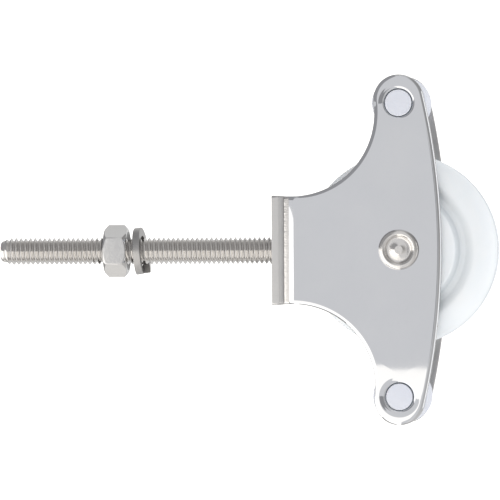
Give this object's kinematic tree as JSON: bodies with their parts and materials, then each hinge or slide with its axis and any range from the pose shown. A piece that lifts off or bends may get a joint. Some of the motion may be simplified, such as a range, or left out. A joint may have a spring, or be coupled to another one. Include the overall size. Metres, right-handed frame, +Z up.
{
  "type": "bow roller",
  "caption": "Stud-mounted bow roller: bent stainless side channel with a large nylon line roller between two small side rollers.",
  "frame": {"origin": "centre of the base plate's seat face, on the stud's axis", "axes": "+Z up the stud towards the rollers, +Y along the roller axles, +X along the run of the line"},
  "size_m": [0.1016, 0.0287, 0.1463],
  "materials": {
    "polished_stainless": "mechanically polished stainless sheet",
    "turned_stainless": "rolled thread and machined faces, bright",
    "mill_stainless": "satin mill finish",
    "weld_metal": "rippled weld metal",
    "white_nylon": "smooth moulded nylon, slightly translucent"
  },
  "bodies": {
    "bracket": {"side_channel": "polished_stainless", "base_plate": "mill_stainless", "front_seam_weld": "mill_stainless", "rear_seam_weld": "mill_stainless", "stud": "turned_stainless", "stud_weld": "weld_metal", "axle_sleeve": "turned_stainless", "axle_rivet": "polished_stainless"},
    "main_roller": {"main_roller": "white_nylon"},
    "fore_side_roller": {"fore_side_roller": "white_nylon"},
    "aft_side_roller": {"aft_side_roller": "white_nylon"},
    "lock_washer": {"lock_washer": "mill_stainless"},
    "nut": {"hex_nut": "turned_stainless"}
  },
  "joints": [
    {"name": "main_roller_spin", "type": "hinge", "parent": "bracket", "child": "main_roller", "pos_m": [0, 0, 0.037], "axis": [0, 1, 0], "continuous": true},
    {"name": "fore_side_roller_spin", "type": "hinge", "parent": "bracket", "child": "fore_side_roller", "pos_m": [0.0425, 0, 0.037], "axis": [0, 1, 0], "continuous": true},
    {"name": "aft_side_roller_spin", "type": "hinge", "parent": "bracket", "child": "aft_side_roller", "pos_m": [-0.0425, 0, 0.037], "axis": [0, 1, 0], "continuous": true},
    {"name": "nut_travel", "type": "slide", "parent": "bracket", "child": "lock_washer", "axis": [0, 0, 1], "range_m": [-0.02823, 0.0367]},
    {"name": "nut_turn", "type": "hinge", "parent": "lock_washer", "child": "nut", "pos_m": [0, 0, -0.0471], "axis": [0, 0, 1], "range_deg": [-7200, 9360]}
  ],
  "couplings": [
    {"joint": "nut_travel", "follows": "nut_turn", "m_per_rad": 0.00022459}
  ]
}
